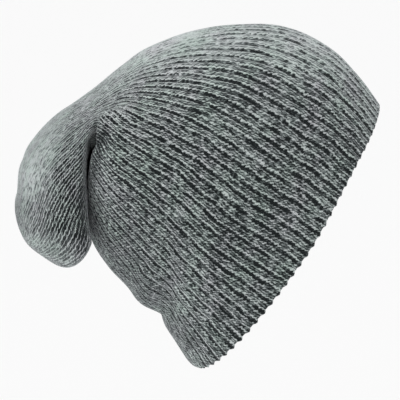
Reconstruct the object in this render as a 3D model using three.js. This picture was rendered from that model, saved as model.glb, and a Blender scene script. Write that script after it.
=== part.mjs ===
// Long slouchy beanie: one tube of rib knit with a closed crown, in the shape it has when worn.
// Its crown folds over at the back and hangs as a lobe behind a deep crease.
// Sizes are in millimetres. +Z is up, +X points to the forehead, -Y is the side towards the viewer.
// The origin is the middle of the mouth, about halfway between the forehead edge and the nape edge.
import * as THREE from "three";

const RIB_COUNT = 80;
const STEPS_PER_RIB = 2; // one valley and one ridge
const LINING_STRIDE = 4; // the inner face is plain, with one point for this many outer ones
const WALL = 2; // thickness of the knit between ridge and valley height
const RIB_RELIEF = 0.15; // ridge to valley, as a share of the rib's width
const TRACE_STEPS = 240; // points traced round a section before the ribs are spread over it

// Each row is a section across the tube, from the mouth to the start of the crown's rounding.
// top and under are where the section crosses the middle plane, halfDepth is its reach to either side.
// dip moves its sides towards the mouth and drop moves them towards the underside, least near the top.
// slide moves the ribs round towards the underside. rings is how many rings are cut before the next row.
// roundTop and roundUnder shape its upper and lower half: 2 is an ellipse, and more has fuller corners.
const COLUMNS = "at topX topZ underX underZ halfDepth roundTop roundUnder dip drop slide rings".split(" ");
const SECTIONS = [
  ["mouth", 60, 81, -58.5, -82, 76, 2.0, 3.3, 5.2, 9, -3, 1],
  ["brow", 46.5, 99.5, -69, -66, 78.5, 2.0, 2.8, 3.4, 9, 6, 2],
  ["above ear", 28, 117, -81.5, -50, 81, 2.0, 2.4, 1, 6, 14, 2],
  ["head top", 0.5, 129.5, -93, -37.5, 82, 2.0, 2.2, -1, 5, 13, 2],
  ["head back", -28, 131, -101, -30, 81, 2.1, 2.1, -3, 1, 7.5, 2],
  ["slouch start", -56.5, 127, -110.5, -20, 77, 2.1, 2.1, -6, -6, 2, 2],
  ["notch", -84, 116.8, -119.5, -6, 72, 2.1, 2.1, -12, -13, -3, 1],
  ["crease", -100, 104.8, -126.2, 17, 66, 2.1, 2.0, -14, -12, -5, 1],
  ["upper crease", -111.2, 94, -126.4, 34.5, 60, 2.1, 2.0, -9, -9, -3, 1],
  ["crease top, body side", -119.7, 88.2, -123, 46, 57, 2.1, 2.0, -4, -7, -2, 1],
  ["fold over", -125.4, 85, -124.9, 49.5, 56, 2.1, 2.0, -2, -5, -1.5, 1],
  ["crease top, lobe side", -130.8, 82, -126.7, 46, 55, 2.1, 2.0, -1, -3, -2.5, 1],
  ["lobe shoulder", -141.9, 75.2, -127.4, 38, 54, 2.1, 2.1, -1, 3, -5, 2],
  ["lobe upper", -155.5, 61.5, -127.7, 27, 53.5, 2.2, 2.2, -1, 10, -9.5, 2],
  ["lobe middle", -165.5, 45, -127.8, 13, 53, 2.2, 2.3, -2, 15, -14.5, 2],
  ["lobe lower", -167.5, 26, -126, -2, 51, 2.2, 2.3, 1, 14, -19, 1],
].map((row) => Object.fromEntries(row.map((value, i) => [COLUMNS[i], value])));
const SHAPE = COLUMNS.filter((name) => name !== "at" && name !== "rings");

// The rounded end of the lobe: how far it reaches past the last section.
// gatherDegrees is how far round to the far side the knit draws together.
const CROWN = { reachX: -7.5, reachZ: -25, gatherDegrees: 50, rings: 7 };

// Soft folds in the knit, each along a line seen from the side. A negative height is a groove.
const FOLDS = [
  { at: "nape groove", startX: -79, startZ: -54, endX: -83, endZ: -4, reach: 6, height: -3 },
  { at: "nape pucker", startX: -87, startZ: -49, endX: -94, endZ: -20, reach: 5, height: 2.6 },
  { at: "lobe groove", startX: -161, startZ: 46, endX: -160, endZ: 4, reach: 4.5, height: -1.6 },
  { at: "lobe ridge", startX: -149, startZ: 40, endX: -146, endZ: 6, reach: 6, height: 1.2 },
];

const SIDE = new THREE.Vector3(0, 1, 0);

const planePoint = (x, z) => new THREE.Vector3(x, 0, z);

const signedPower = (value, power) => Math.sign(value) * Math.abs(value) ** power;

// A row's value at any place along the table, on a smooth curve through the rows.
function smoothValue(places, values, place) {
  const last = places.length - 1;
  const slope = (i) => {
    const a = Math.max(0, i - 1);
    const b = Math.min(last, i + 1);
    return (values[b] - values[a]) / (places[b] - places[a]);
  };
  let i = 0;
  while (i < last - 1 && place >= places[i + 1]) i += 1;
  const span = places[i + 1] - places[i];
  const t = (place - places[i]) / span;
  const t2 = t * t;
  const t3 = t2 * t;
  return (
    (2 * t3 - 3 * t2 + 1) * values[i] +
    (t3 - 2 * t2 + t) * span * slope(i) +
    (3 * t2 - 2 * t3) * values[i + 1] +
    (t3 - t2) * span * slope(i + 1)
  );
}

// Where each row lies along the tube: the mean length of the top path and the underside path up to it.
function rowPlaces() {
  const places = [0];
  for (let i = 1; i < SECTIONS.length; i += 1) {
    const [a, b] = [SECTIONS[i - 1], SECTIONS[i]];
    const top = Math.hypot(b.topX - a.topX, b.topZ - a.topZ);
    const under = Math.hypot(b.underX - a.underX, b.underZ - a.underZ);
    places.push(places[i - 1] + (top + under) / 2);
  }
  return places;
}

// A ring is a closed outline in space: its centre, its half reach up and across, and the bend of its sides.
function sectionRing(shape) {
  const top = planePoint(shape.topX, shape.topZ);
  const under = planePoint(shape.underX, shape.underZ);
  const up = top.clone().sub(under).multiplyScalar(0.5);
  const upward = up.clone().normalize();
  const towardsMouth = planePoint(upward.z, -upward.x);
  return {
    centre: top.clone().add(under).multiplyScalar(0.5),
    up,
    across: SIDE.clone().multiplyScalar(shape.halfDepth),
    bend: towardsMouth.multiplyScalar(shape.dip).addScaledVector(upward, -shape.drop),
    roundTop: shape.roundTop,
    roundUnder: shape.roundUnder,
    slide: shape.slide,
  };
}

function tubeRings() {
  const places = rowPlaces();
  const columns = Object.fromEntries(SHAPE.map((name) => [name, SECTIONS.map((row) => row[name])]));
  const ringAt = (place) =>
    sectionRing(Object.fromEntries(SHAPE.map((name) => [name, smoothValue(places, columns[name], place)])));
  const rings = [];
  for (let i = 0; i < SECTIONS.length - 1; i += 1) {
    const step = (places[i + 1] - places[i]) / SECTIONS[i].rings;
    for (let k = 0; k < SECTIONS[i].rings; k += 1) rings.push(ringAt(places[i] + k * step));
  }
  rings.push(ringAt(places[places.length - 1]));
  return rings;
}

// The crown's rings shrink over a rounded end and tilt as they go, so that they close on the far side.
function crownRings(last) {
  const reach = planePoint(CROWN.reachX, CROWN.reachZ);
  const gather = THREE.MathUtils.degToRad(CROWN.gatherDegrees);
  const quarter = Math.PI / 2;
  const rings = [];
  for (let k = 1; k <= CROWN.rings; k += 1) {
    const share = k / CROWN.rings;
    const near = -quarter + (gather + quarter) * share;
    const far = quarter + (gather - quarter) * share;
    const along = (Math.cos(near) + Math.cos(far)) / 2;
    const aside = (Math.sin(near) + Math.sin(far)) / 2;
    const across = last.across.clone().multiplyScalar((Math.sin(far) - Math.sin(near)) / 2);
    across.addScaledVector(reach, (Math.cos(far) - Math.cos(near)) / 2);
    const fade = 1 - share * share;
    rings.push({
      centre: last.centre.clone().addScaledVector(reach, along).addScaledVector(last.across, aside),
      up: last.up.clone().multiplyScalar(Math.sqrt(Math.max(0, 1 - along * along - aside * aside))),
      across,
      bend: last.bend.clone().multiplyScalar(fade * fade),
      roundTop: 2 + (last.roundTop - 2) * fade,
      roundUnder: 2 + (last.roundUnder - 2) * fade,
      slide: last.slide * fade,
    });
  }
  return rings;
}

// Points round a ring, from the top over the near side to the underside and back over the far side.
// They lie an equal stretch of knit apart, but for the slide of the ribs.
function ringPoints(ring, count) {
  const trace = [];
  const lengths = [0];
  for (let i = 0; i <= TRACE_STEPS; i += 1) {
    const angle = (2 * Math.PI * i) / TRACE_STEPS;
    const power = 2 / (Math.cos(angle) > 0 ? ring.roundTop : ring.roundUnder);
    const high = signedPower(Math.cos(angle), power);
    const wide = signedPower(Math.sin(angle), power);
    const point = ring.centre.clone().addScaledVector(ring.up, high).addScaledVector(ring.across, -wide);
    trace.push(point.addScaledVector(ring.bend, (1 - high * high) ** (high > 0 ? 2 : 1)));
    if (i > 0) lengths.push(lengths[i - 1] + trace[i].distanceTo(trace[i - 1]));
  }
  const girth = lengths[TRACE_STEPS];
  const points = [];
  let i = 0;
  for (let k = 0; k < count; k += 1) {
    const turn = k / count;
    const wanted = turn * girth + ring.slide * Math.sin(2 * Math.PI * turn);
    while (i < TRACE_STEPS - 1 && lengths[i + 1] < wanted) i += 1;
    const t = (wanted - lengths[i]) / (lengths[i + 1] - lengths[i]);
    points.push(trace[i].clone().lerp(trace[i + 1], t));
  }
  return { points, girth };
}

// How far the folds lift a point of the knit.
function foldHeight(point) {
  let height = 0;
  for (const fold of FOLDS) {
    const line = new THREE.Line3(planePoint(fold.startX, fold.startZ), planePoint(fold.endX, fold.endZ));
    const seen = planePoint(point.x, point.z);
    const gap = line.closestPointToPoint(seen, true, new THREE.Vector3()).distanceTo(seen);
    height += fold.height * Math.exp(-((gap / fold.reach) ** 2));
  }
  return height;
}

// The outward direction at each point of a grid of rings, from its neighbours along the tube and round it.
function outwardDirections(grid) {
  const lastRing = grid.length - 1;
  return grid.map((points, i) =>
    points.map((_, k) => {
      const next = points[(k + 1) % points.length];
      const before = points[(k + points.length - 1) % points.length];
      const along = grid[Math.min(lastRing, i + 1)][k].clone().sub(grid[Math.max(0, i - 1)][k]);
      return along.cross(next.clone().sub(before)).normalize();
    }),
  );
}

// Two triangles to each four points, split one way on the near side and mirrored on the far side.
function addBand(faces, first, second, count) {
  for (let k = 0; k < count; k += 1) {
    const n = (k + 1) % count;
    if (k < count / 2) faces.push(first + k, second + k, first + n, first + n, second + k, second + n);
    else faces.push(first + k, second + n, first + n, first + k, second + k, second + n);
  }
}

function addFan(faces, ring, tip, count) {
  for (let k = 0; k < count; k += 1) faces.push(ring + k, tip, ring + ((k + 1) % count));
}

// The mouth's rim joins the ribbed outer edge to the plain inner one, which has fewer points.
function addRim(faces, outer, inner, outerCount, innerCount) {
  const half = LINING_STRIDE / 2;
  for (let k = 0; k < innerCount; k += 1) {
    const here = inner + k;
    const beside = inner + ((k + 1) % innerCount);
    for (let j = 0; j < LINING_STRIDE; j += 1) {
      const a = outer + k * LINING_STRIDE + j;
      const b = outer + ((k * LINING_STRIDE + j + 1) % outerCount);
      faces.push(j < half ? here : beside, a, b);
      if (j === half - 1) faces.push(here, b, beside);
    }
  }
}

function knitShell() {
  const outerCount = RIB_COUNT * STEPS_PER_RIB;
  const innerCount = outerCount / LINING_STRIDE;
  const tube = tubeRings();
  const rings = [...tube, ...crownRings(tube[tube.length - 1])];
  const traced = rings.map((ring) => ringPoints(ring, outerCount));
  const tip = traced.pop().points[0];
  const base = traced.map(({ points }) => points);
  const outward = outwardDirections(base);
  const crownOutward = new THREE.Vector3();
  outward[outward.length - 1].forEach((direction) => crownOutward.add(direction));
  crownOutward.normalize();
  const smooth = base.map((points, i) =>
    points.map((point, k) => point.clone().addScaledVector(outward[i][k], foldHeight(point))),
  );
  const vertices = [];
  smooth.forEach((points, i) => {
    const relief = (RIB_RELIEF * traced[i].girth) / RIB_COUNT / 2;
    points.forEach((point, k) => {
      const lift = k % STEPS_PER_RIB === 0 ? -relief : relief;
      vertices.push(point.clone().addScaledVector(outward[i][k], lift));
    });
  });
  const outerTip = vertices.push(tip) - 1;
  const innerStart = vertices.length;
  smooth.forEach((points, i) => {
    for (let k = 0; k < outerCount; k += LINING_STRIDE) {
      vertices.push(points[k].clone().addScaledVector(outward[i][k], -WALL));
    }
  });
  const innerTip = vertices.push(tip.clone().addScaledVector(crownOutward, -WALL)) - 1;

  const faces = [];
  const lastRing = smooth.length - 1;
  for (let i = 0; i < lastRing; i += 1) addBand(faces, i * outerCount, (i + 1) * outerCount, outerCount);
  addFan(faces, lastRing * outerCount, outerTip, outerCount);
  const innerFaces = [];
  for (let i = 0; i < lastRing; i += 1) {
    addBand(innerFaces, innerStart + i * innerCount, innerStart + (i + 1) * innerCount, innerCount);
  }
  addFan(innerFaces, innerStart + lastRing * innerCount, innerTip, innerCount);
  // The inner face looks the other way, so its triangles run backwards.
  faces.push(...innerFaces.reverse());
  addRim(faces, 0, innerStart, outerCount, innerCount);

  const geometry = new THREE.BufferGeometry();
  geometry.setAttribute(
    "position",
    new THREE.Float32BufferAttribute(
      vertices.flatMap((v) => v.toArray()),
      3,
    ),
  );
  geometry.setIndex(faces);
  geometry.computeVertexNormals();
  return geometry;
}

const marlKnit = new THREE.MeshStandardMaterial({ color: 0x707676, roughness: 0.95, metalness: 0 });
marlKnit.name = "marl_knit";

const beanie = new THREE.Group();
beanie.name = "long_beanie";
const shell = new THREE.Mesh(knitShell(), marlKnit);
shell.name = "rib_knit_shell";
beanie.add(shell);

export default beanie;
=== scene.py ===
"""Long slouchy beanie in grey marl rib knit, shown in the shape it has when worn.

The beanie is one knitted tube with a closed crown. The crown folds over at the back and hangs as a lobe
behind a deep crease. +Z is up, +X points to the forehead and -Y is the near side. The knit's sizes are in
millimetres, turned to metres where its mesh and its material are made. The studio's places are in metres.
"""
import logging
import math
from collections.abc import Callable, Sequence
from dataclasses import dataclass, field
from enum import Enum
from functools import partial
from typing import Any

import bpy
import numpy as np
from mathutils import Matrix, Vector


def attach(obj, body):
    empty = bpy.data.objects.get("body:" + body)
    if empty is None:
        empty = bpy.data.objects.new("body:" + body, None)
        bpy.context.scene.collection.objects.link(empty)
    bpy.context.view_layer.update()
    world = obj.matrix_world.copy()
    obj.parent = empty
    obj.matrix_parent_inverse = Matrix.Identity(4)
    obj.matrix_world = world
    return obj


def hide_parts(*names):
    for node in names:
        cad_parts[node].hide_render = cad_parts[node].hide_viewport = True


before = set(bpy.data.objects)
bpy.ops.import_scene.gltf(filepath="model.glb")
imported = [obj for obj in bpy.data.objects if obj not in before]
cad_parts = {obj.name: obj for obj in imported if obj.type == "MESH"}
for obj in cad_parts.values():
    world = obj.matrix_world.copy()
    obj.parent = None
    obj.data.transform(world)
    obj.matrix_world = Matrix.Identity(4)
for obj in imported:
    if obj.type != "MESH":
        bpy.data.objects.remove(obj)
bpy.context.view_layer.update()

MM = 0.001
SEED = 7

# A rib is this wide at the mouth, in millimetres. The real stitches are finer than this course, which is
# drawn as high as it needs to be to show in the render.
OPEN_RIB = 7.2
COURSE = 2.4

# A colour mix takes its two colours at these inputs and gives the mixed one at this output.
FIRST_COLOUR, SECOND_COLOUR, MIXED_COLOUR = 6, 7, 2

Array = np.ndarray
Colour = tuple[float, float, float, float]
AddNode = Callable[..., bpy.types.Node]


class Body(Enum):
    """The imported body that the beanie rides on."""

    ROOT = "root"


class Node(Enum):
    """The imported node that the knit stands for."""

    SHELL = "rib_knit_shell"


class Slot(Enum):
    """The record's material slots."""

    KNIT = "marl_knit"


class Held(Enum):
    """How the cloth is held."""

    STRETCHED = "stretched"


class CoordinateMap(Enum):
    """The UV maps of the knit: stitch counts for its material, and a spread-out one for baking."""

    STITCHES = "Stitches"
    SPREAD = "OFBake"


class Channel(Enum):
    """What the knit's points tell its material."""

    OPENING = "rib_opening"
    # Painted light and shade, laid on the knit's tone.
    PAINTED_LIGHT = "marl_tone"
    CONTRAST = "marl_contrast"
    FLECKS = "marl_flecks"


class Kind(Enum):
    """The kinds of shader node in use."""

    ATTRIBUTE = "ShaderNodeAttribute"
    BACKGROUND = "ShaderNodeBackground"
    BUMP = "ShaderNodeBump"
    COMBINE = "ShaderNodeCombineXYZ"
    MATH = "ShaderNodeMath"
    MIX = "ShaderNodeMix"
    NOISE = "ShaderNodeTexNoise"
    RAMP = "ShaderNodeValToRGB"
    RANGE = "ShaderNodeMapRange"
    SEPARATE = "ShaderNodeSeparateXYZ"
    SURFACE = "ShaderNodeBsdfPrincipled"
    SURFACE_OUTPUT = "ShaderNodeOutputMaterial"
    SURROUND_OUTPUT = "ShaderNodeOutputWorld"
    UV_MAP = "ShaderNodeUVMap"
    WHITE_NOISE = "ShaderNodeTexWhiteNoise"


@dataclass(frozen=True)
class Section:
    """One section across the tube.

    top and under are the (x, z) where it crosses the middle plane. half_depth is its reach to either side.
    round_top and round_under are 2 for an ellipse and more for fuller corners. dip moves its sides towards
    the mouth and drop moves them towards the underside, both least near the top. slide moves the ribs round
    towards the underside.
    """

    at: str
    top: tuple[float, float]
    under: tuple[float, float]
    half_depth: float
    round_top: float
    round_under: float
    dip: float
    drop: float
    slide: float

    def values(self) -> list[float]:
        """The section's numbers in one row."""
        ends = [*self.top, *self.under]
        return [*ends, self.half_depth, self.round_top, self.round_under, self.dip, self.drop, self.slide]


@dataclass(frozen=True)
class Fold:
    """A soft fold along a line seen from the side: its ends as (x, z), its half width and its height."""

    at: str
    start: tuple[float, float]
    end: tuple[float, float]
    reach: float
    height: float


@dataclass(frozen=True)
class PaintedLightAndMarl:
    """A stretch of the knit along a line seen from the side, with painted light or painted shade on it.

    start and end are (x, z) and reach is its half width. tone paints light on it when positive and shade
    when negative, contrast makes its ribs stand out more when positive, and flecks is how strong its loose
    dark fibres are.
    """

    at: str
    start: tuple[float, float]
    end: tuple[float, float]
    reach: float
    tone: float
    contrast: float
    flecks: float


@dataclass(frozen=True)
class Crown:
    """The rounded end of the lobe: its reach past the last section, and where its gather sits."""

    reach: tuple[float, float] = (-7.5, -25.0)
    gather_degrees: float = 50.0
    rings: int = 26


SECTIONS: tuple[Section, ...] = (
    Section("mouth", (60, 81), (-58.5, -82), 76, 2.0, 3.3, 5.2, 9, -3),
    Section("brow", (46.5, 99.5), (-69, -66), 78.5, 2.0, 2.8, 3.4, 9, 6),
    Section("above ear", (28, 117), (-81.5, -50), 81, 2.0, 2.4, 1, 6, 14),
    Section("head top", (0.5, 129.5), (-93, -37.5), 82, 2.0, 2.2, -1, 5, 13),
    Section("head back", (-28, 131), (-101, -30), 81, 2.1, 2.1, -3, 1, 6),
    Section("slouch start", (-56.5, 127), (-110.5, -20), 77, 2.1, 2.1, -6, -6, -1.5),
    Section("notch", (-84, 116.8), (-119.5, -6), 72, 2.1, 2.1, -12, -13, -9),
    Section("crease", (-100.3, 105.4), (-126.2, 17), 66, 2.1, 2.0, -14, -12, -11),
    Section("upper crease", (-111.5, 96.8), (-125.6, 36.5), 61, 1.95, 2.0, -6.5, -5, -7.5),
    Section("crease top, body side", (-119.9, 90.6), (-120.6, 50), 60, 1.8, 2.0, -2.5, -3.5, -5),
    Section("fold over", (-125.9, 86.4), (-122.8, 53.8), 59.5, 1.75, 2.0, -2, -3.5, -4),
    Section("crease top, lobe side", (-131.4, 82.8), (-126, 49.6), 58, 1.8, 2.0, -1, -3, -5),
    Section("lobe shoulder", (-142, 75.6), (-127.4, 39.5), 55.5, 2.0, 2.1, -1, 3, -9),
    Section("lobe upper", (-155.5, 61.5), (-127.7, 27), 53.5, 2.2, 2.2, -1, 10, -16),
    Section("lobe middle", (-165.5, 45), (-127.8, 13), 53, 2.2, 2.3, -2, 15, -24),
    Section("lobe lower", (-167.5, 26), (-126, -2), 51, 2.2, 2.3, 1, 14, -31),
)

FOLDS: tuple[Fold, ...] = (
    Fold("nape groove", (-79, -54), (-83, -4), 6, -3),
    Fold("nape pucker", (-87, -49), (-94, -20), 5, 2.6),
    Fold("lobe groove", (-161, 46), (-160, 4), 4.5, -1.6),
    Fold("lobe ridge", (-149, 40), (-146, 6), 6, 1.2),
    Fold("dimple above the crease", (-119.5, 68), (-124, 62), 4.5, -3),
)

# Each patch's tone is painted light where positive, over the top, the back, the forehead's side, the arch
# over the crease and the outline of the lobe and the underside, and painted shade where negative, in and
# beside the crease and by the notch.
PAINTED_LIGHT_AND_MARL: tuple[PaintedLightAndMarl, ...] = (
    # Painted shade in the crease.
    PaintedLightAndMarl("crease top", (-122, 67), (-130, 34), 3.4, -0.4, -0.3, 0.0),
    PaintedLightAndMarl("crease bottom", (-131.5, 31), (-132, 6), 3.8, -0.6, -0.3, 0.0),
    PaintedLightAndMarl("beside the crease, lobe side", (-137, 72), (-146, 14), 9, -0.10, 1.0, 0.0),
    PaintedLightAndMarl("arch over the crease", (-136, 78), (-108, 84), 8, 0.18, 1.1, 0.0),
    PaintedLightAndMarl("beside the crease, body side", (-114, 50), (-126, 0), 9, 0.02, 0.3, 0.0),
    PaintedLightAndMarl("lobe back", (-139, 88), (-166, 38), 13, 0.62, -1.1, 0.4),
    PaintedLightAndMarl("lobe back, lower", (-168, 36), (-168, 2), 12, 0.30, -0.5, 0.4),
    PaintedLightAndMarl("lobe end", (-162, -4), (-138, -14), 11, 0.50, -0.6, 0.4),
    PaintedLightAndMarl("upper back", (-112, 84), (-72, 104), 13, 0.0, 1.1, 0.0),
    PaintedLightAndMarl("over the back", (-124, 94), (-62, 130), 10, 0.62, -0.8, 0.4),
    PaintedLightAndMarl("over the top", (-62, 128), (45, 116), 20, 0.38, -0.1, 0.12),
    PaintedLightAndMarl("forehead side", (25, 85), (45, 70), 16, 0.08, 0.2, 0.0),
    PaintedLightAndMarl("notch side", (-108, 8), (-96, 24), 18, -0.07, 0.0, 0.0),
    PaintedLightAndMarl("under edge", (-118, -8), (-70, -70), 7, 0.10, -0.4, 0.25),
)


def smooth_curve(places: Array, values: Array, wanted: Array) -> Array:
    """Read a table at any place, on a smooth curve through its rows.

    Args:
        places: where each row lies, rising.
        values: one row of numbers for each place.
        wanted: the places to read.

    Returns:
        One row of numbers for each wanted place.
    """
    last = len(places) - 1
    before = np.maximum(np.arange(last + 1) - 1, 0)
    after = np.minimum(np.arange(last + 1) + 1, last)
    slopes = (values[after] - values[before]) / (places[after] - places[before])[:, None]
    i = np.clip(np.searchsorted(places, wanted, side="right") - 1, 0, last - 1)
    span = (places[i + 1] - places[i])[:, None]
    t = (wanted - places[i])[:, None] / span
    here = (2 * t**3 - 3 * t**2 + 1) * values[i] + (t**3 - 2 * t**2 + t) * span * slopes[i]
    there = (3 * t**2 - 2 * t**3) * values[i + 1] + (t**3 - t**2) * span * slopes[i + 1]
    return here + there


def signed_power(value: Array, power: Array) -> Array:
    """Raise the size of a value to a power and keep its sign."""
    return np.sign(value) * np.abs(value) ** power


def in_plane(x: Array, z: Array) -> Array:
    """Points of the middle plane, where y is 0."""
    return np.stack([x, np.zeros_like(x), z], axis=-1)


def unit(vectors: Array) -> Array:
    """The vectors at length 1."""
    return vectors / np.maximum(np.linalg.norm(vectors, axis=-1, keepdims=True), 1e-9)


@dataclass
class Rings:
    """Rings along the tube as stacked arrays: centres, half reaches, bends, roundness and slide."""

    centre: Array
    up: Array
    across: Array
    bend: Array
    round_top: Array
    round_under: Array
    slide: Array

    def joined(self, other: "Rings") -> "Rings":
        """These rings followed by the other ones.

        Args:
            other: the rings to put after these.

        Returns:
            All the rings in one set.
        """
        pairs = [(getattr(self, name), getattr(other, name)) for name in self.__dataclass_fields__]
        return Rings(*(np.concatenate(pair) for pair in pairs))


@dataclass
class WornTube:
    """The worn shape of the knit tube, from the mouth to the gathered crown.

    row_step is the distance between rings along the tube, and trace_steps how finely a ring is traced
    before the ribs are spread over it. top_ease is how steeply a ring's bend dies away towards its top.
    """

    sections: tuple[Section, ...] = SECTIONS
    folds: tuple[Fold, ...] = FOLDS
    crown: Crown = field(default_factory=Crown)
    row_step: float = 2.1
    trace_steps: int = 720
    top_ease: float = 6.0

    def places(self) -> Array:
        """Measure how far along the tube each section lies.

        Returns:
            A distance for each section, by the mean of the paths along the top and the underside.
        """
        top = np.array([row.top for row in self.sections], float)
        under = np.array([row.under for row in self.sections], float)
        steps = np.linalg.norm(np.diff(top, axis=0), axis=1) + np.linalg.norm(np.diff(under, axis=0), axis=1)
        return np.concatenate([[0.0], np.cumsum(steps / 2)])

    def tube_rings(self) -> Rings:
        """Set rings an equal step apart along the tube, on a smooth curve through its sections.

        Returns:
            The rings from the mouth to the start of the crown.
        """
        places = self.places()
        values = np.array([row.values() for row in self.sections], float)
        wanted = np.linspace(0, places[-1], math.ceil(places[-1] / self.row_step) + 1)
        table = smooth_curve(places, values, wanted).T
        top_x, top_z, under_x, under_z, half_depth, round_top, round_under, dip, drop, slide = table
        top = in_plane(top_x, top_z)
        under = in_plane(under_x, under_z)
        upward = unit(top - under)
        to_mouth = in_plane(upward[:, 2], -upward[:, 0])
        across = np.zeros_like(top)
        across[:, 1] = half_depth
        bend = to_mouth * dip[:, None] - upward * drop[:, None]
        return Rings((top + under) / 2, (top - under) / 2, across, bend, round_top, round_under, slide)

    def crown_rings(self, tube: Rings) -> Rings:
        """Rings that shrink over the lobe's rounded end and tilt to close on the far side.

        Args:
            tube: the rings before the crown.

        Returns:
            The crown's rings, the last of them a point.
        """
        reach = np.array([self.crown.reach[0], 0.0, self.crown.reach[1]])
        gather = math.radians(self.crown.gather_degrees)
        share = np.arange(1, self.crown.rings + 1) / self.crown.rings
        near = -math.pi / 2 + (gather + math.pi / 2) * share
        far = math.pi / 2 + (gather - math.pi / 2) * share
        along = ((np.cos(near) + np.cos(far)) / 2)[:, None]
        aside = ((np.sin(near) + np.sin(far)) / 2)[:, None]
        side = tube.across[-1]
        across = side * ((np.sin(far) - np.sin(near)) / 2)[:, None]
        across = across + reach * ((np.cos(far) - np.cos(near)) / 2)[:, None]
        height = np.sqrt(np.maximum(0, 1 - along**2 - aside**2))
        fade = 1 - share**2
        return Rings(
            tube.centre[-1] + reach * along + side * aside,
            tube.up[-1] * height,
            across,
            tube.bend[-1] * (fade**2)[:, None],
            2 + (tube.round_top[-1] - 2) * fade,
            2 + (tube.round_under[-1] - 2) * fade,
            tube.slide[-1] * fade,
        )

    def rings(self) -> Rings:
        """All the rings of the tube and the crown."""
        tube = self.tube_rings()
        return tube.joined(self.crown_rings(tube))

    def grid(self, rings: Rings, turns: Array) -> tuple[Array, Array]:
        """Points of the plain tube, an equal stretch of knit apart but for the slide of the ribs.

        Args:
            rings: the rings of the tube.
            turns: how far round each column lies, from 0 at the top over the near side and back to 1.

        Returns:
            The points, ring by ring, and each ring's girth.
        """
        angle = np.linspace(0, 2 * math.pi, self.trace_steps + 1)
        upper = np.cos(angle)[None, :] > 0
        power = 2 / np.where(upper, rings.round_top[:, None], rings.round_under[:, None])
        high = signed_power(np.cos(angle)[None, :], power)[..., None]
        wide = signed_power(np.sin(angle)[None, :], power)[..., None]
        trace = rings.centre[:, None] + rings.up[:, None] * high - rings.across[:, None] * wide
        ease = np.where(upper, self.top_ease, 1.0)[..., None]
        trace = trace + rings.bend[:, None] * (1 - high**2) ** ease
        steps = np.linalg.norm(np.diff(trace, axis=1), axis=2)
        lengths = np.concatenate([np.zeros((len(trace), 1)), np.cumsum(steps, axis=1)], axis=1)
        girth = lengths[:, -1]
        points = np.empty((len(trace), len(turns), 3))
        for i, length in enumerate(lengths):
            wanted = turns * girth[i] + rings.slide[i] * np.sin(2 * math.pi * turns)
            for axis in range(3):
                points[i, :, axis] = np.interp(wanted, length, trace[i, :, axis])
        return points, girth

    def fold_height(self, points: Array) -> Array:
        """How far the folds lift each point of the knit.

        Args:
            points: points of the knit.

        Returns:
            A height for each point, negative in a groove.
        """
        height = np.zeros(points.shape[:-1])
        for fold in self.folds:
            height += fold.height * np.exp(-((off_line(points, fold.start, fold.end) / fold.reach) ** 2))
        return height


def off_line(points: Array, start: tuple[float, float], end: tuple[float, float]) -> Array:
    """How far points lie from a line, seen from the side.

    Args:
        points: points of the knit.
        start: one end of the line as (x, z).
        end: its other end.

    Returns:
        A distance for each point.
    """
    seen = points[..., [0, 2]] - np.array(start, float)
    line = np.array(end, float) - np.array(start, float)
    share = np.clip((seen @ line) / (line @ line), 0, 1)
    return np.linalg.norm(seen - share[..., None] * line, axis=-1)


def outward(points: Array) -> Array:
    """The outward direction at each point of a ring grid that closes on itself across its columns.

    Args:
        points: the grid, ring by ring.

    Returns:
        A unit vector for each point.
    """
    along = np.gradient(points, axis=0)
    around = np.roll(points, -1, axis=1) - np.roll(points, 1, axis=1)
    return unit(np.cross(along, around))


@dataclass
class Undulation:
    """Slow, smooth unevenness of hand-wide cloth, as a sum of a few waves in space.

    height is its reach in millimetres and lengths the range of its wavelengths.
    """

    height: float = 0.28
    lengths: tuple[float, float] = (22.0, 60.0)
    waves: int = 14

    def at(self, points: Array) -> Array:
        """The height of the cloth at each point.

        Args:
            points: points of the knit, in millimetres.

        Returns:
            A height in millimetres for each point.
        """
        draw = np.random.default_rng(SEED)
        total = np.zeros(points.shape[:-1])
        for _ in range(self.waves):
            direction = unit(draw.normal(size=3))
            length = draw.uniform(*self.lengths)
            phase = draw.uniform(0, 2 * math.pi)
            total += np.sin(points @ direction * (2 * math.pi / length) + phase)
        return self.height * total / math.sqrt(self.waves / 2) / 2


@dataclass(frozen=True)
class RimRow:
    """One row of points over the rolled edge of the mouth.

    across is how far it lies from the lining to the outer face, from 0 to 1, bulge its share of the
    rim's reach, and along its place along the knit in millimetres.
    """

    across: float
    bulge: float
    along: float


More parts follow.
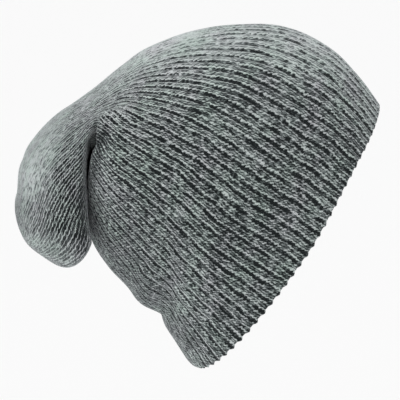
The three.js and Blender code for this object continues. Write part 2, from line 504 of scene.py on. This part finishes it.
@dataclass
class RibKnitShell:
    """The knitted shell: ribbed outside and inside, rolled at the mouth and gathered at the crown.

    Sizes are in millimetres, but for the flat size of the sheet in metres and its area in square metres.
    relief is the ridge to valley height as a share of a rib's width, and lining_relief how much of it
    the lining has. profile is the height over one rib, from one valley to the next, with two knitted
    wales between them, and rim_profile is how far the rim reaches out over the same rib, on top of
    rim_base. lining_stride is how many rings of the outside go to one of the lining. tip_reach is how
    much knit lies between the last ring and the gather, and the margins keep the spread-out map off its
    edges. flat is the width and length of the knit before wear stretches it: the tube's widest girth
    less about a tenth, and its mean length.
    """

    tube: WornTube = field(default_factory=WornTube)
    cloth: Undulation = field(default_factory=Undulation)
    # Patches of painted light and shade, rib contrast and loose dark flecks over the knit.
    painted_light_and_marl: tuple[PaintedLightAndMarl, ...] = PAINTED_LIGHT_AND_MARL
    rib_count: int = 80
    profile: tuple[float, ...] = (-1.0, 0.25, 0.95, 0.8, 1.0, 0.35)
    relief: float = 0.15
    lining_relief: float = 0.3
    wall: float = 2.0
    lining_stride: int = 4
    rim_reach: float = 1.6
    rim_base: float = 0.15
    rim_profile: tuple[float, ...] = (1.0, 0.6, 0.0, 0.1, 0.0, 0.6)
    rim_rows: tuple[RimRow, ...] = (
        RimRow(across=0.25, bulge=0.75, along=-0.4),
        RimRow(across=0.6, bulge=1.0, along=-0.8),
        RimRow(across=0.9, bulge=0.65, along=-1.2),
    )
    tip_reach: float = 1.0
    map_margin: tuple[float, float] = (0.005, 0.01)
    tip_margin: float = 0.004
    flat: tuple[float, float] = (0.53, 0.31)
    flat_area: float = 0.11
    name: str = "rib_knit"

    def columns(self) -> int:
        """How many columns of points go round the tube."""
        return self.rib_count * len(self.profile)

    def surfaces(self) -> tuple[Array, Array, Array, Array]:
        """Work out the outer face and the lining.

        Returns:
            The outer points, the lining's points, how far along the knit each ring lies in millimetres,
            and each ring's rib width.
        """
        count = self.columns()
        turns = np.arange(count) / count
        plain, girth = self.tube.grid(self.tube.rings(), turns)
        plain = plain[:-1]
        pitch = girth[:-1] / self.rib_count
        normals = outward(plain)
        smooth = plain + normals * (self.tube.fold_height(plain) + self.cloth.at(plain))[..., None]
        rib = np.tile(np.array(self.profile), self.rib_count)
        lift = rib[None, :] * (self.relief * pitch / 2)[:, None]
        outer = smooth + normals * lift[..., None]
        lining = smooth - normals * (self.wall + lift * self.lining_relief)[..., None]
        steps = np.linalg.norm(np.diff(plain, axis=0), axis=2).mean(axis=1)
        return outer, lining, np.concatenate([[0.0], np.cumsum(steps)]), pitch

    def rim(self, outer: Array, lining: Array) -> Array:
        """The rolled edge of the mouth, whose rib valleys reach out a little further than its ridges.

        Args:
            outer: the outer face.
            lining: the lining.

        Returns:
            Rows of points that join the lining's first ring to the outer face's first ring.
        """
        outwards = unit(outer[0] - outer[1])
        scallop = self.rim_base + np.tile(np.array(self.rim_profile), self.rib_count)
        rows = []
        for row in self.rim_rows:
            reach = self.rim_reach * row.bulge * scallop
            rows.append(lining[0] + (outer[0] - lining[0]) * row.across + outwards * reach[:, None])
        return np.stack(rows)

    def build(self) -> bpy.types.Object:
        """Make the shell as one closed mesh with its two UV maps.

        Returns:
            The mesh object, with its points in metres.
        """
        outer, lining, along, pitch = self.surfaces()
        kept = np.unique(np.append(np.arange(0, len(lining) - 1, self.lining_stride), len(lining) - 1))
        rows = np.concatenate([lining[kept][::-1], self.rim(outer, lining), outer])
        rim_along = [row.along for row in self.rim_rows]
        along_rows = np.concatenate([along[kept][::-1], rim_along, along])
        pitch_rows = np.concatenate([pitch[kept][::-1], np.full(len(rim_along), pitch[0]), pitch])
        tips = np.stack([rows[0].mean(axis=0), rows[-1].mean(axis=0)])
        points = np.concatenate([rows.reshape(-1, 3), tips])
        mesh = bpy.data.meshes.new(self.name)
        mesh.from_pydata((points * MM).tolist(), [], self.faces(len(rows)))
        mesh.shade_smooth()
        self.add_maps(mesh, along_rows)
        self.add_channels(mesh, points, pitch_rows)
        mesh.update()
        piece = bpy.data.objects.new(self.name, mesh)
        bpy.context.collection.objects.link(piece)
        return piece

    def faces(self, ring_total: int) -> list[list[int]]:
        """Join the rings with four-sided faces, and close both ends with a fan of triangles.

        Args:
            ring_total: how many rings there are, each with a point to a column. The two tips follow them.

        Returns:
            The points of each face.
        """
        count = self.columns()
        ring, column = np.meshgrid(np.arange(ring_total - 1), np.arange(count), indexing="ij")
        here = ring * count + column
        beside = ring * count + (column + 1) % count
        quads = np.stack([here, here + count, beside + count, beside], axis=-1).reshape(-1, 4)
        around = np.arange(count)
        onward = (around + 1) % count
        last_ring = (ring_total - 1) * count
        lining_tip = np.full(count, ring_total * count)
        lining_fan = np.stack([lining_tip, around, onward], axis=-1)
        crown_fan = np.stack([lining_tip + 1, last_ring + onward, last_ring + around], axis=-1)
        return [*quads.tolist(), *lining_fan.tolist(), *crown_fan.tolist()]

    def add_maps(self, mesh: bpy.types.Mesh, along: Array) -> None:
        """Give the mesh its stitch map, in ribs and courses, and its spread-out map.

        Args:
            mesh: the shell's mesh.
            along: how far along the knit each ring lies.
        """
        count = self.columns()
        ring, column = np.meshgrid(np.arange(len(along) - 1), np.arange(count), indexing="ij")
        ring, column, around = ring.ravel(), column.ravel(), np.arange(count)
        corner_rings = np.stack([ring, ring + 1, ring + 1, ring], axis=-1).ravel()
        corner_columns = np.stack([column, column, column + 1, column + 1], axis=-1).ravel()
        rings = np.concatenate([corner_rings, np.zeros(3 * count), np.full(3 * count, len(along) - 1.0)])
        lining_fan = np.stack([around + 0.5, around, around + 1], axis=-1).ravel()
        crown_fan = np.stack([around + 0.5, around + 1, around], axis=-1).ravel()
        columns = np.concatenate([corner_columns, lining_fan, crown_fan])
        is_tip = np.zeros(len(rings), bool)
        is_tip[len(corner_rings)::3] = True

        place = np.interp(rings, np.arange(len(along)), along) + is_tip * self.tip_reach
        stitches = np.stack([columns / len(self.profile), place / COURSE], axis=-1)

        distance = np.concatenate([[0.0], np.cumsum(np.abs(np.diff(along)))])
        down = np.interp(rings, np.arange(len(along)), distance) / distance[-1]
        tip_place = np.where(rings == 0, -self.tip_margin, 1 + self.tip_margin)
        shares = np.stack([columns / count, np.where(is_tip, tip_place, down)], axis=-1)
        margin = np.array(self.map_margin)
        spread = margin + (1 - 2 * margin) * shares

        for kind, values in ((CoordinateMap.STITCHES, stitches), (CoordinateMap.SPREAD, spread)):
            layer = mesh.uv_layers.new(name=kind.value)
            layer.data.foreach_set("uv", values.astype(np.float32).ravel())
        mesh.uv_layers.active = mesh.uv_layers[CoordinateMap.STITCHES.value]

    def add_channels(self, mesh: bpy.types.Mesh, points: Array, pitch: Array) -> None:
        """Store how open the ribs are, and the painted light and shade, contrast and flecks at each point.

        Ribs go from 0 where they are closed to 1 where they are as wide as at the mouth.

        Args:
            mesh: the shell's mesh.
            points: its points, in millimetres.
            pitch: each ring's rib width.
        """
        open_ribs = (pitch - pitch.min()) / (pitch.max() - pitch.min())
        tips = np.zeros(2)
        runs = np.zeros((3, len(points)))
        # Tone is painted light and shade, contrast the ribs' contrast, and flecks the loose dark fibre.
        for shade in self.painted_light_and_marl:
            share = np.exp(-((off_line(points, shade.start, shade.end) / shade.reach) ** 2))
            runs += np.outer((shade.tone, shade.contrast, shade.flecks), share)
        opening = np.concatenate([np.repeat(open_ribs, self.columns()), tips])
        for channel, values in zip(Channel, (opening, *runs)):
            layer = mesh.attributes.new(channel.value, "FLOAT", "POINT")
            layer.data.foreach_set("value", values.astype(np.float32))

    def dress(self, piece: bpy.types.Object, finish: "MarlKnit") -> None:
        """Give the shell its finish, hide the imported part it stands for, and attach it to the root body.

        Args:
            piece: the shell.
            finish: the finish of the knit.
        """
        piece.data.materials.append(finish.build())
        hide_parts(Node.SHELL.value)
        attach(piece, Body.ROOT.value)


def linear(hex_colour: str) -> Colour:
    """Turn an sRGB hex colour to linear.

    Args:
        hex_colour: the colour as #RRGGBB.

    Returns:
        Red, green, blue and alpha.
    """
    parts = [int(hex_colour[i:i + 2], 16) / 255 for i in (1, 3, 5)]
    red, green, blue = (p / 12.92 if p <= 0.04045 else ((p + 0.055) / 1.055) ** 2.4 for p in parts)
    return red, green, blue, 1.0


def add_node(
    tree: bpy.types.NodeTree, kind: Kind, links: Sequence[Any] | dict[Any, Any], **settings: Any
) -> bpy.types.Node:
    """Add a node with its settings and its inputs.

    Args:
        tree: the node tree.
        kind: what kind of node it is.
        links: what goes into its inputs, in their order or by name or number. Each is an output, a node
            whose first output is meant, or a value.
        settings: attributes of the node, or for a colour ramp its stops, each a place and a colour.

    Returns:
        The node.
    """
    node = tree.nodes.new(kind.value)
    stops = settings.pop("stops", ())
    for name, value in settings.items():
        setattr(node, name, value)
    for place, colour in stops[2:]:
        node.color_ramp.elements.new(place).color = colour
    for i, (place, colour) in enumerate(stops):
        node.color_ramp.elements[i].position = place
        node.color_ramp.elements[i].color = colour
    pairs = links.items() if isinstance(links, dict) else enumerate(links)
    for place, value in pairs:
        source = value.outputs[0] if isinstance(value, bpy.types.Node) else value
        if isinstance(source, bpy.types.NodeSocket):
            tree.links.new(source, node.inputs[place])
        else:
            node.inputs[place].default_value = source
    return node


@dataclass(frozen=True)
class Scatter:
    """A smooth random pattern over the knit.

    across is the size of its patches over the ribs and along their size down the courses, both in
    millimetres where the ribs are open. layer picks a slice of the noise for it alone, detail is how many
    finer steps it has, and swing is how far it moves what it changes to either side.
    """

    across: float
    along: float
    layer: float
    detail: float = 1.0
    swing: float = 0.0


@dataclass(frozen=True)
class MarlKnit:
    """Rib knit of a marl yarn, charcoal and light grey fibre spun together, in wool and acrylic.

    The eye sees dark broken valleys between the ribs, a bright toothed edge along each, and slanted
    stitch legs flecked light and dark, under a soft fuzz that pales at the outline. The valleys are
    charcoal yarn under painted shade, the bright edge is partly a painted highlight, and each leg is
    painted lighter along its middle, a painted highlight on the round yarn.

    Places over a rib go from 0 in one valley to 1 in the next, and tones from 0 for charcoal to 1 for
    silver. wide_rib is the tone over a rib that is pulled open and narrow_rib over a closed one. Both are
    dark in the valleys, charcoal yarn under painted shade, and brightest at one edge, partly a painted
    highlight. widening is how open the ribs are where one gives way to the other. closed_blobs and
    valley_reach are where valleys close, and loose_blobs is where loose dark fibre lies. The parts of the
    tone are added up, less their middle, spread by contrast, and set on mean_tone.
    """

    # Charcoal, pewter and silver, as mixed in the yarn, under a faint green or mauve cast.
    yarn_colours: tuple[tuple[float, str], ...] = ((0.05, "#12191A"), (0.5, "#707877"), (1.0, "#CDD5D2"))
    casts: tuple[tuple[float, str], ...] = ((0.3, "#F6FFFA"), (0.7, "#FFF8FF"))
    # Dark valleys: charcoal yarn under painted shade. The brightest stop: partly a painted highlight on the
    # rib's edge.
    wide_rib: tuple[tuple[float, float], ...] = (
        (0.0, 0.13),
        (0.10, 0.20),
        (0.16, 0.50),
        (0.22, 0.77),
        (0.28, 0.58),
        (0.33, 0.40),
        (0.46, 0.57),
        (0.58, 0.40),
        (0.66, 0.76),
        (0.72, 0.92),
        (0.78, 0.66),
        (0.85, 0.30),
        (1.0, 0.13),
    )
    narrow_rib: tuple[tuple[float, float], ...] = (
        (0.0, 0.14),
        (0.12, 0.26),
        (0.22, 0.86),
        (0.32, 0.42),
        (0.48, 0.24),
        (0.60, 0.40),
        (0.72, 0.97),
        (0.84, 0.36),
        (1.0, 0.14),
    )
    rib_middle: float = 0.5
    widening: tuple[float, float] = (0.35, 0.8)

    # Fibre and stitches are drawn coarser than the real ones, which are too fine to show in the render.
    wander: Scatter = Scatter(across=9.0, along=15.0, layer=0.0, swing=0.26)
    shake: Scatter = Scatter(across=3.0, along=2.4, layer=5.0, swing=0.14)
    blobs: Scatter = Scatter(across=8.0, along=5.714, layer=4.0, detail=2.0)
    fibre: Scatter = Scatter(across=0.9, along=2.667, layer=2.0, swing=0.52)
    mottle: Scatter = Scatter(across=2.769, along=4.0, layer=12.0, swing=0.36)
    patches: Scatter = Scatter(across=45.0, along=26.667, layer=9.0, detail=3.0, swing=0.26)
    loose: Scatter = Scatter(across=4.5, along=4.364, layer=31.0, detail=2.0)
    tints: Scatter = Scatter(across=30.0, along=17.143, layer=23.0, detail=2.0)
    grain: float = 0.6
    tooth: float = 0.10
    stagger: float = 0.37
    fibre_slant: float = -0.07

    legs_per_rib: float = 4.0
    first_leg: float = -0.38
    leg_slant: float = -0.8
    leg_stagger: float = 0.46
    leg_edges: tuple[float, float] = (0.5, 0.1)
    # How much the legs add to the tone: the stitch pattern, with a painted highlight along each leg's
    # middle.
    leg_pattern_and_highlight: float = 0.20
    leg_middle: float = 0.08
    fleck_swing: float = 0.13

    closed_blobs: tuple[float, float] = (0.52, 0.38)
    valley_reach: tuple[float, float] = (0.24, 0.08)
    closing_tone: float = 0.30
    loose_blobs: tuple[float, float] = (0.56, 0.36)
    contrast: float = 1.85
    open_contrast: float = -0.25
    mean_tone: float = 0.35

    # Wool scatters light softly, with next to no gloss, and its fuzz catches it at the outline.
    roughness: float = 0.92
    gloss: float = 0.25
    fuzz: float = 0.65
    fuzz_roughness: float = 0.4
    fuzz_colour: str = "#E6EAEE"
    bump_height: float = 0.7
    bump_strength: float = 0.8
    leg_relief: float = 0.5
    closing_relief: float = 0.3
    fibre_relief: float = 0.35
    name: str = "marl_wool_rib_knit"

    def scatter(self, add: AddNode, pattern: Scatter, line: Any, course: Any) -> bpy.types.Node:
        """Lay a random pattern over the knit, at its real size.

        Args:
            add: adds a node to the material.
            pattern: the pattern.
            line: how many ribs round the tube each point lies.
            course: how many courses down it lies.

        Returns:
            The pattern, from 0 to 1.
        """
        x = add(Kind.MATH, (line, OPEN_RIB / pattern.across), operation="MULTIPLY")
        y = add(Kind.MATH, (course, COURSE / pattern.along), operation="MULTIPLY")
        place = add(Kind.COMBINE, (x, y, pattern.layer))
        links = {"Vector": place, "Scale": 1.0, "Detail": pattern.detail, "Roughness": self.grain}
        return add(Kind.NOISE, links)

    def place_on_rib(self, add: AddNode, rib: Any, course: Any, tooth: Any) -> bpy.types.Node:
        """Find where each point lies over its rib, for ribs that wander and are pulled into small teeth.

        Args:
            add: adds a node to the material.
            rib: how many ribs round the tube each point lies.
            course: how many courses down it lies.
            tooth: how far down its tooth it lies.

        Returns:
            A place from 0 in one valley to 1 in the next.
        """
        middle = self.wander.swing + self.shake.swing - self.tooth / 2
        place = add(Kind.MATH, (tooth, -self.tooth, -middle), operation="MULTIPLY_ADD")
        for pattern in (self.wander, self.shake):
            noise = self.scatter(add, pattern, rib, course)
            place = add(Kind.MATH, (noise, 2 * pattern.swing, place), operation="MULTIPLY_ADD")
        place = add(Kind.MATH, (rib, place), operation="ADD")
        return add(Kind.MATH, (place,), operation="FRACT")

    def tone_over_rib(self, add: AddNode, place: Any, opening: Any) -> bpy.types.NodeSocket:
        """Give each place over a rib its tone, by how open the rib is.

        Its tone is dark in the valleys, charcoal yarn under painted shade, and brightest at one edge,
        partly a painted highlight.

        Args:
            add: adds a node to the material.
            place: where each point lies over its rib.
            opening: how open the rib is there.

        Returns:
            The tone.
        """
        share = add(Kind.RANGE, (opening, *self.widening), interpolation_type="SMOOTHSTEP")
        narrow, wide = (
            add(Kind.RAMP, (place,), stops=[(at, (tone, tone, tone, 1.0)) for at, tone in tones])
            for tones in (self.narrow_rib, self.wide_rib)
        )
        links = {0: share, FIRST_COLOUR: narrow, SECOND_COLOUR: wide}
        return add(Kind.MIX, links, data_type="RGBA").outputs[MIXED_COLOUR]

    def closed_valleys(self, add: AddNode, rib: Any, course: Any, place: Any) -> bpy.types.Node:
        """Find where the valley between two ribs closes, as it does here and there along its length.

        Args:
            add: adds a node to the material.
            rib: how many ribs round the tube each point lies.
            course: how many courses down it lies.
            place: where it lies over its rib.

        Returns:
            How far it is closed, from 0 to 1.
        """
        shifted = add(Kind.MATH, (place, 0.5), operation="ADD")
        wrapped = add(Kind.MATH, (shifted,), operation="FRACT")
        off_valley = add(Kind.MATH, (wrapped, 0.5), operation="SUBTRACT")
        from_valley = add(Kind.MATH, (off_valley,), operation="ABSOLUTE")
        blobs = self.scatter(add, self.blobs, rib, course)
        closed = add(Kind.RANGE, (blobs, *self.closed_blobs), interpolation_type="SMOOTHSTEP")
        near = add(Kind.RANGE, (from_valley, *self.valley_reach), interpolation_type="SMOOTHSTEP")
        return add(Kind.MATH, (closed, near), operation="MULTIPLY")

    def stitch_legs(self, add: AddNode, own_rib: Any, courses: Any, place: Any) -> tuple[Any, Any]:
        """Draw the legs of the stitches: two wales to a rib, each leg a slanted stroke in every course.

        Args:
            add: adds a node to the material.
            own_rib: which rib each point is on.
            courses: how many courses down its rib it lies.
            place: where it lies over its rib.

        Returns:
            How far each point stands up on its leg, and a random number for each stitch.
        """
        leg_place = add(Kind.MATH, (place, self.legs_per_rib, self.first_leg), operation="MULTIPLY_ADD")
        leg = add(Kind.MATH, (leg_place,), operation="FLOOR")
        over_leg = add(Kind.MATH, (leg_place,), operation="FRACT")
        off_leg = add(Kind.MATH, (over_leg, 0.5), operation="SUBTRACT")
        climb = add(Kind.MATH, (off_leg, self.leg_slant, courses), operation="MULTIPLY_ADD")
        climb = add(Kind.MATH, (leg, self.leg_stagger, climb), operation="MULTIPLY_ADD")
        over_stitch = add(Kind.MATH, (climb,), operation="FRACT")
        half_turn = add(Kind.MATH, (over_stitch, math.pi), operation="MULTIPLY")
        stroke = add(Kind.MATH, (half_turn,), operation="SINE")
        beside = add(Kind.MATH, (off_leg,), operation="ABSOLUTE")
        rounded = add(Kind.RANGE, (beside, *self.leg_edges), interpolation_type="SMOOTHSTEP")
        yarn = add(Kind.MATH, (stroke, rounded), operation="MULTIPLY")

        own_leg = add(Kind.MATH, (own_rib, 2 * self.legs_per_rib, leg), operation="MULTIPLY_ADD")
        own_course = add(Kind.MATH, (climb,), operation="FLOOR")
        stitch = add(Kind.COMBINE, (own_leg, own_course))
        return yarn, add(Kind.WHITE_NOISE, (stitch,), noise_dimensions="3D")

    def build(self) -> bpy.types.Material:
        """Make the material.

        Returns:
            The knit's material.
        """
        material = bpy.data.materials.new(self.name)
        material.use_nodes = True
        tree = material.node_tree
        tree.nodes.clear()
        add = partial(add_node, tree)

        stitches = add(Kind.UV_MAP, (), uv_map=CoordinateMap.STITCHES.value)
        rib, course = add(Kind.SEPARATE, (stitches,)).outputs[:2]
        opening, painted_tone, own_contrast, own_flecks = (
            add(Kind.ATTRIBUTE, (), attribute_name=channel.value).outputs["Fac"] for channel in Channel
        )

        # Each rib starts its courses at a height of its own, and each course pulls it into a small tooth.
        own_rib = add(Kind.MATH, (rib,), operation="FLOOR")
        courses = add(Kind.MATH, (own_rib, self.stagger, course), operation="MULTIPLY_ADD")
        tooth = add(Kind.MATH, (courses,), operation="FRACT")
        place = self.place_on_rib(add, rib, course, tooth)
        profile = self.tone_over_rib(add, place, opening)
        closing = self.closed_valleys(add, rib, course, place)
        yarn, fleck = self.stitch_legs(add, own_rib, courses, place)

        # Fibres lie along the yarn, slanted to the rib.
        slanted = add(Kind.MATH, (course, self.fibre_slant, rib), operation="MULTIPLY_ADD")
        fibre = self.scatter(add, self.fibre, slanted, course)
        mottle = self.scatter(add, self.mottle, slanted, course)
        patches = self.scatter(add, self.patches, rib, course)
        loose = self.scatter(add, self.loose, slanted, course)

        # What makes up the tone, and how much each part of it gives.
        swings = ((fleck, self.fleck_swing), (fibre, self.fibre.swing), (mottle, self.mottle.swing))
        middle = self.rib_middle + self.leg_middle + sum(swing for _, swing in swings)
        detail = add(Kind.MATH, (profile, middle), operation="SUBTRACT")
        # The legs paint each leg lighter along its middle and darker at its ends: the stitch pattern with a
        # painted highlight on the round yarn.
        shares = [(closing, self.closing_tone), (yarn, self.leg_pattern_and_highlight)]
        shares += [(part, 2 * swing) for part, swing in swings]
        for part, share in shares:
            detail = add(Kind.MATH, (part, share, detail), operation="MULTIPLY_ADD")
        contrast = add(Kind.MATH, (opening, self.open_contrast, self.contrast), operation="MULTIPLY_ADD")
        contrast = add(Kind.MATH, (contrast, own_contrast), operation="ADD")
        lowest = self.mean_tone - self.patches.swing
        ground = add(Kind.MATH, (patches, 2 * self.patches.swing, lowest), operation="MULTIPLY_ADD")
        # Painted light and shade from the patches: lighter over the top and at the outline, darker in the
        # crease.
        ground = add(Kind.MATH, (ground, painted_tone), operation="ADD")
        dark = add(Kind.RANGE, (loose, *self.loose_blobs), interpolation_type="SMOOTHSTEP")
        darkening = add(Kind.MATH, (dark, own_flecks), operation="MULTIPLY")
        ground = add(Kind.MATH, (ground, darkening), operation="SUBTRACT")
        tone = add(Kind.MATH, (detail, contrast, ground), operation="MULTIPLY_ADD")

        yarn_stops = [(at, linear(colour)) for at, colour in self.yarn_colours]
        cast_stops = [(at, linear(colour)) for at, colour in self.casts]
        colours = add(Kind.RAMP, (tone,), stops=yarn_stops)
        tints = add(Kind.RAMP, (self.scatter(add, self.tints, rib, course),), stops=cast_stops)
        links = {0: 1.0, FIRST_COLOUR: colours, SECOND_COLOUR: tints}
        tinted = add(Kind.MIX, links, data_type="RGBA", blend_type="MULTIPLY")

        height = profile
        reliefs = ((yarn, self.leg_relief), (closing, self.closing_relief), (fibre, self.fibre_relief))
        for part, relief in reliefs:
            height = add(Kind.MATH, (part, relief, height), operation="MULTIPLY_ADD")
        bump_links = {"Height": height, "Distance": self.bump_height * MM, "Strength": self.bump_strength}
        bump = add(Kind.BUMP, bump_links)

        looks = {
            "Base Color": tinted.outputs[MIXED_COLOUR],
            "Roughness": self.roughness,
            "Normal": bump,
            "Sheen Weight": self.fuzz,
            "Sheen Roughness": self.fuzz_roughness,
            "Sheen Tint": linear(self.fuzz_colour),
            "Specular IOR Level": self.gloss,
        }
        add(Kind.SURFACE_OUTPUT, {"Surface": add(Kind.SURFACE, looks)})
        return material


@dataclass(frozen=True)
class PaintedFloor:
    """A matt white studio floor, which shows as a plain pale ground without a shine."""

    colour: str = "#F8F8F8"
    roughness: float = 0.9
    name: str = "matt_white_paint"

    def build(self) -> bpy.types.Material:
        """Make the material.

        Returns:
            The floor's material.
        """
        material = bpy.data.materials.new(self.name)
        material.use_nodes = True
        tree = material.node_tree
        tree.nodes.clear()
        looks = {"Base Color": linear(self.colour), "Roughness": self.roughness}
        add_node(tree, Kind.SURFACE_OUTPUT, {"Surface": add_node(tree, Kind.SURFACE, looks)})
        return material


@dataclass(frozen=True)
class SoftLight:
    """A large soft light: the direction it comes from, its spread in degrees and its strength."""

    name: str
    source: tuple[float, float, float]
    spread: float
    strength: float


@dataclass
class Studio:
    """Floor, soft lights and camera. Angles are in degrees, and places in metres."""

    target: tuple[float, float, float] = (-0.0527, 0.0, 0.0209)
    azimuth: float = -8.0
    elevation: float = 5.0
    distance: float = 2.5
    field_width: float = 0.252
    sensor: float = 36.0
    floor_height: float = -0.3
    floor_reach: float = 40.0
    sight: float = 200.0
    sky: str = "#FFFFFF"
    sky_strength: float = 0.6
    lights: tuple[SoftLight, ...] = (SoftLight("key", (-0.65, -0.12, 1.0), 50.0, 1.65),)

    def build(self) -> None:
        """Make the floor, the sky, the lights and the camera, and show colours as they are measured."""
        bpy.context.scene.view_settings.view_transform = "Standard"
        self.add_floor()
        self.add_sky()
        for light in self.lights:
            self.add_light(light)
        self.add_camera()

    def add_floor(self) -> None:
        """Lay the floor well below the beanie, which doesn't stand on it."""
        reach = self.floor_reach
        corners = [(-reach, -reach), (reach, -reach), (reach, reach), (-reach, reach)]
        mesh = bpy.data.meshes.new("floor")
        mesh.from_pydata([(x, y, self.floor_height) for x, y in corners], [], [(0, 1, 2, 3)])
        mesh.materials.append(PaintedFloor().build())
        floor = bpy.data.objects.new("floor", mesh)
        bpy.context.collection.objects.link(floor)

    def add_sky(self) -> None:
        """Light the whole room evenly from a white surround."""
        world = bpy.data.worlds.new("white_surround")
        bpy.context.scene.world = world
        world.use_nodes = True
        world.node_tree.nodes.clear()
        looks = {"Color": linear(self.sky), "Strength": self.sky_strength}
        sky = add_node(world.node_tree, Kind.BACKGROUND, looks)
        add_node(world.node_tree, Kind.SURROUND_OUTPUT, {"Surface": sky})

    def add_light(self, light: SoftLight) -> None:
        """Hang one soft light and turn it to the beanie.

        Args:
            light: the light's direction, spread and strength.
        """
        lamp = bpy.data.lights.new(light.name, "SUN")
        lamp.angle = math.radians(light.spread)
        lamp.energy = light.strength
        holder = bpy.data.objects.new(light.name, lamp)
        holder.location = light.source
        holder.rotation_euler = (-Vector(light.source)).to_track_quat("-Z", "Y").to_euler()
        bpy.context.collection.objects.link(holder)

    def add_camera(self) -> None:
        """Set the camera at the photograph's angle, far off with a long lens to keep lines parallel."""
        turn, rise = math.radians(self.azimuth), math.radians(self.elevation)
        level = math.cos(rise)
        back = Vector((math.sin(turn) * level, -math.cos(turn) * level, math.sin(rise)))
        camera = bpy.data.cameras.new("camera")
        camera.sensor_width = self.sensor
        camera.lens = self.sensor * self.distance / self.field_width
        camera.clip_end = self.sight
        holder = bpy.data.objects.new("camera", camera)
        holder.location = Vector(self.target) + back * self.distance
        holder.rotation_euler = (-back).to_track_quat("-Z", "Y").to_euler()
        bpy.context.collection.objects.link(holder)
        bpy.context.scene.camera = holder


def main() -> None:
    """Build the studio and the beanie in order and report each piece."""
    logging.basicConfig(level=logging.INFO, format="%(message)s")
    Studio().build()
    shell = RibKnitShell()
    piece = shell.build()
    shell.dress(piece, MarlKnit())
    logging.info("%s: %d faces", piece.name, len(piece.data.polygons))
    bpy.context.view_layer.update()


if __name__ == "__main__":
    main()
